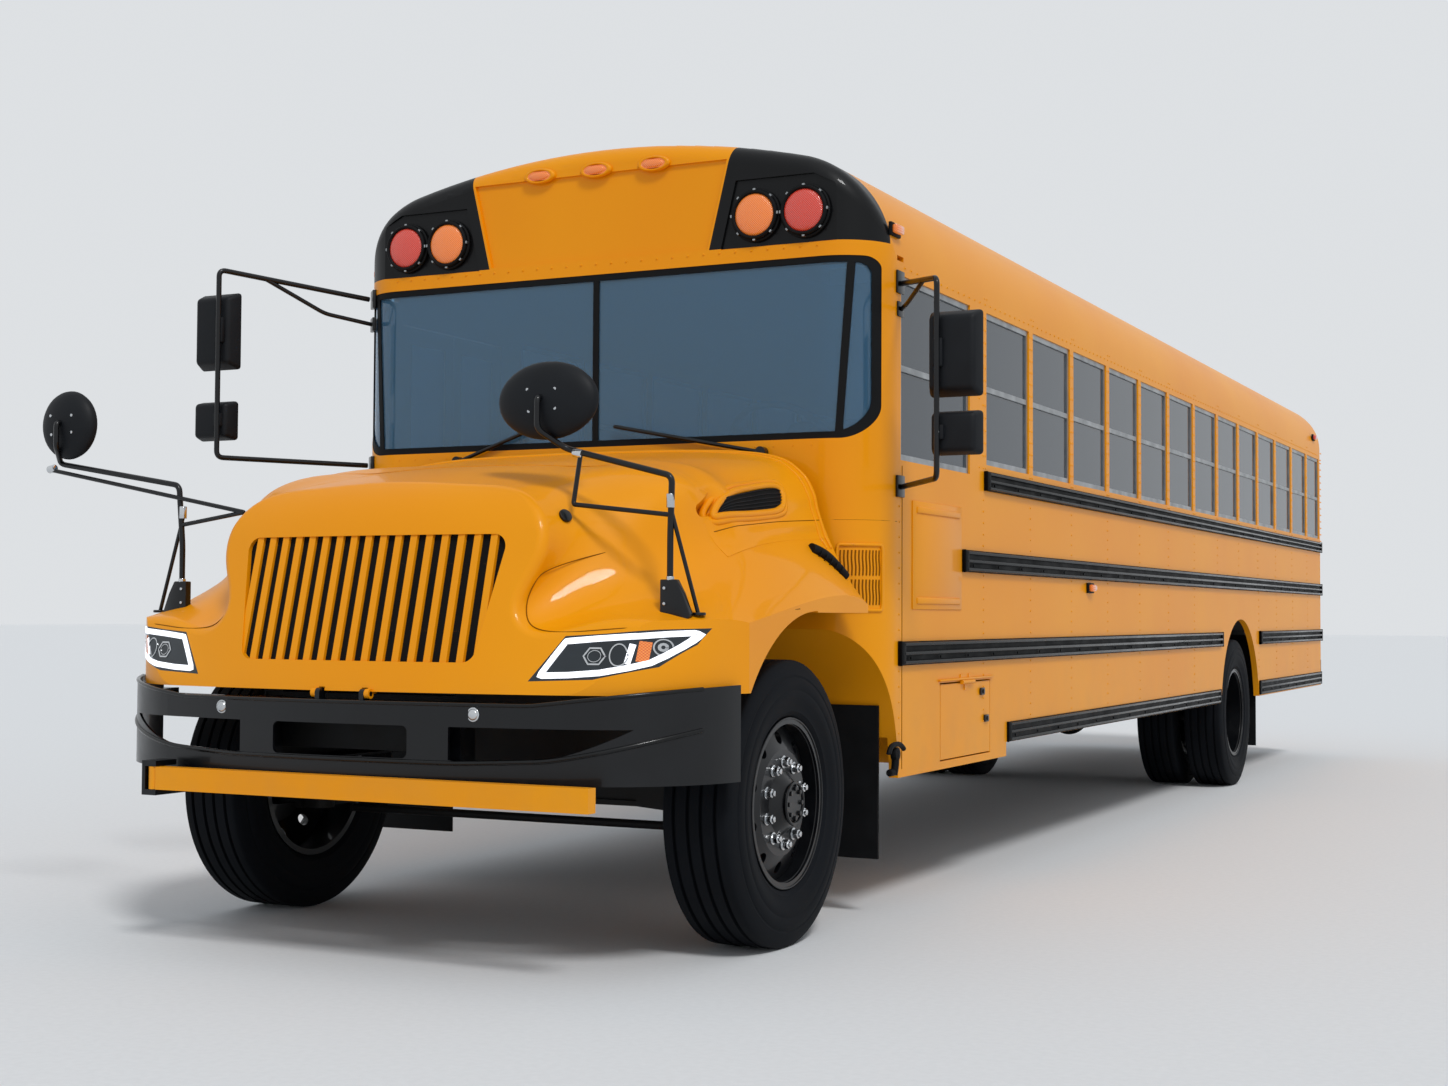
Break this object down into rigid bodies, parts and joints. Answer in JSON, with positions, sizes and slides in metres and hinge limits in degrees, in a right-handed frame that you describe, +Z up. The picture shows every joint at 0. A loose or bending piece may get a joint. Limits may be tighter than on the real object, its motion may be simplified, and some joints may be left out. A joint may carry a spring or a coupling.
{
  "type": "school bus",
  "caption": "Bonneted yellow school bus with tilting hood, steered front wheels, twin rear wheels, folding entrance doors, rear exit and roof hatches.",
  "frame": {"origin": "on the ground at the middle of the overall box", "axes": "+X to the bus's own left, +Y to its rear, +Z up"},
  "size_m": [3.31, 11.99, 3.1267],
  "materials": {
    "chassis_steel": "satin black chassis paint",
    "tyre_rubber": "matt black tyre rubber",
    "black_paint": "gloss black paint",
    "cast_engine": "painted cast iron",
    "dull_steel": "dull exhaust steel",
    "yellow_paint": "gloss yellow enamel",
    "black_rubber": "matt black rubber",
    "clear_glass": "tinted safety glass",
    "bare_aluminium": "satin bare aluminium",
    "white_plastic": "satin white moulding",
    "floor_rubber": "ribbed black floor rubber",
    "seat_vinyl": "dark vinyl cover",
    "dark_plastic": "grained black plastic",
    "smoked_lens": "clear lens over a smoked reflector",
    "red_lens": "moulded red lens",
    "amber_lens": "moulded amber lens"
  },
  "bodies": {
    "chassis": {"frame_rails": "chassis_steel", "leaf_springs": "chassis_steel", "front_axle": "chassis_steel", "rear_axle": "chassis_steel", "engine_block": "cast_engine", "fuel_tank": "black_paint", "exhaust_pipe": "dull_steel", "front_bumper": "black_paint", "tow_eyes": "chassis_steel", "bar_bracket": "black_paint", "cowl": "yellow_paint", "windshield_frame": "black_rubber", "windshield_glass": "clear_glass", "front_cap": "yellow_paint", "body_side_left": "yellow_paint", "body_side_right": "yellow_paint", "window_frames": "bare_aluminium", "window_glass": "clear_glass", "rub_rails": "black_paint", "roof_panel": "yellow_paint", "rear_wall": "yellow_paint", "rear_glass": "clear_glass", "cabin_floor": "floor_rubber", "entrance_steps": "floor_rubber", "wheel_houses": "floor_rubber", "passenger_seats": "seat_vinyl", "driver_seat": "seat_vinyl", "dashboard": "dark_plastic", "steering_wheel": "dark_plastic", "rear_bumper": "black_paint", "mud_flaps": "black_rubber", "side_mirrors": "dark_plastic", "wipers": "black_paint", "red_lamps": "red_lens", "amber_lamps": "amber_lens"},
    "hood": {"hood": "yellow_paint", "headlamps": "smoked_lens", "grille": "yellow_paint", "crossview_mirrors": "dark_plastic"},
    "crossing_arm": {"crossing_arm": "yellow_paint"},
    "knuckle_left": {"knuckle_left": "chassis_steel"},
    "knuckle_right": {"knuckle_right": "chassis_steel"},
    "tie_rod": {"tie_rod": "chassis_steel"},
    "wheel_front_left": {"front_tyre_left": "tyre_rubber", "front_rim_left": "black_paint"},
    "wheel_front_right": {"front_tyre_right": "tyre_rubber", "front_rim_right": "black_paint"},
    "wheels_rear_left": {"rear_tyres_left": "tyre_rubber", "rear_rims_left": "black_paint"},
    "wheels_rear_right": {"rear_tyres_right": "tyre_rubber", "rear_rims_right": "black_paint"},
    "entrance_leaf_front": {"entrance_leaf_front": "yellow_paint", "entrance_glass_front": "clear_glass"},
    "entrance_leaf_rear": {"entrance_leaf_rear": "yellow_paint", "entrance_glass_rear": "clear_glass"},
    "emergency_door": {"emergency_door": "yellow_paint", "emergency_door_glass": "clear_glass"},
    "locker_door": {"locker_door": "yellow_paint"},
    "roof_hatch_front": {"roof_hatch_front": "white_plastic"},
    "roof_hatch_rear": {"roof_hatch_rear": "white_plastic"}
  },
  "joints": [
    {"name": "hood_tilt", "type": "hinge", "parent": "chassis", "child": "hood", "pos_m": [0, -5.911, 0.893], "axis": [1, 0, 0], "range_deg": [0, 60]},
    {"name": "crossing_arm_swing", "type": "hinge", "parent": "chassis", "child": "crossing_arm", "pos_m": [-0.735, -5.9725, 0.5915], "axis": [0, 0, -1], "range_deg": [0, 90]},
    {"name": "steer_left", "type": "hinge", "parent": "chassis", "child": "knuckle_left", "pos_m": [0.88, -4.875, 0.5], "axis": [0, 0, 1], "range_deg": [-40, 40]},
    {"name": "steer_right", "type": "hinge", "parent": "chassis", "child": "knuckle_right", "pos_m": [-0.88, -4.875, 0.5], "axis": [0, 0, 1], "range_deg": [-40, 40]},
    {"name": "tie_rod_end", "type": "hinge", "parent": "knuckle_left", "child": "tie_rod", "pos_m": [0.88, -4.675, 0.38], "axis": [0, 0, 1], "range_deg": [-40, 40]},
    {"name": "spin_front_left", "type": "hinge", "parent": "knuckle_left", "child": "wheel_front_left", "pos_m": [1.0235, -4.875, 0.5], "axis": [1, 0, 0], "continuous": true},
    {"name": "spin_front_right", "type": "hinge", "parent": "knuckle_right", "child": "wheel_front_right", "pos_m": [-1.0235, -4.875, 0.5], "axis": [1, 0, 0], "continuous": true},
    {"name": "spin_rear_left", "type": "hinge", "parent": "chassis", "child": "wheels_rear_left", "pos_m": [0.8995, 2.512, 0.5], "axis": [1, 0, 0], "continuous": true},
    {"name": "spin_rear_right", "type": "hinge", "parent": "chassis", "child": "wheels_rear_right", "pos_m": [-0.8995, 2.512, 0.5], "axis": [1, 0, 0], "continuous": true},
    {"name": "entrance_front_swing", "type": "hinge", "parent": "chassis", "child": "entrance_leaf_front", "pos_m": [-1.228, -3.942, 1.5], "axis": [0, 0, 1], "range_deg": [0, 90]},
    {"name": "entrance_rear_swing", "type": "hinge", "parent": "chassis", "child": "entrance_leaf_rear", "pos_m": [-1.228, -3.148, 1.5], "axis": [0, 0, -1], "range_deg": [0, 90]},
    {"name": "emergency_door_swing", "type": "hinge", "parent": "chassis", "child": "emergency_door", "pos_m": [-0.477, 5.921, 1.75], "axis": [0, 0, 1], "range_deg": [0, 100]},
    {"name": "locker_door_lift", "type": "hinge", "parent": "chassis", "child": "locker_door", "pos_m": [1.228, -3.2335, 0.877], "axis": [0, -1, 0], "range_deg": [0, 90]},
    {"name": "roof_hatch_front_lift", "type": "hinge", "parent": "chassis", "child": "roof_hatch_front", "pos_m": [0, -1.814, 3.085], "axis": [1, 0, 0], "range_deg": [0, 60]},
    {"name": "roof_hatch_rear_lift", "type": "hinge", "parent": "chassis", "child": "roof_hatch_rear", "pos_m": [0, 2.986, 3.085], "axis": [1, 0, 0], "range_deg": [0, 60]}
  ],
  "couplings": [
    {"joint": "steer_right", "follows": "steer_left", "ratio": 1},
    {"joint": "tie_rod_end", "follows": "steer_left", "ratio": -1},
    {"joint": "entrance_rear_swing", "follows": "entrance_front_swing", "ratio": 1}
  ]
}
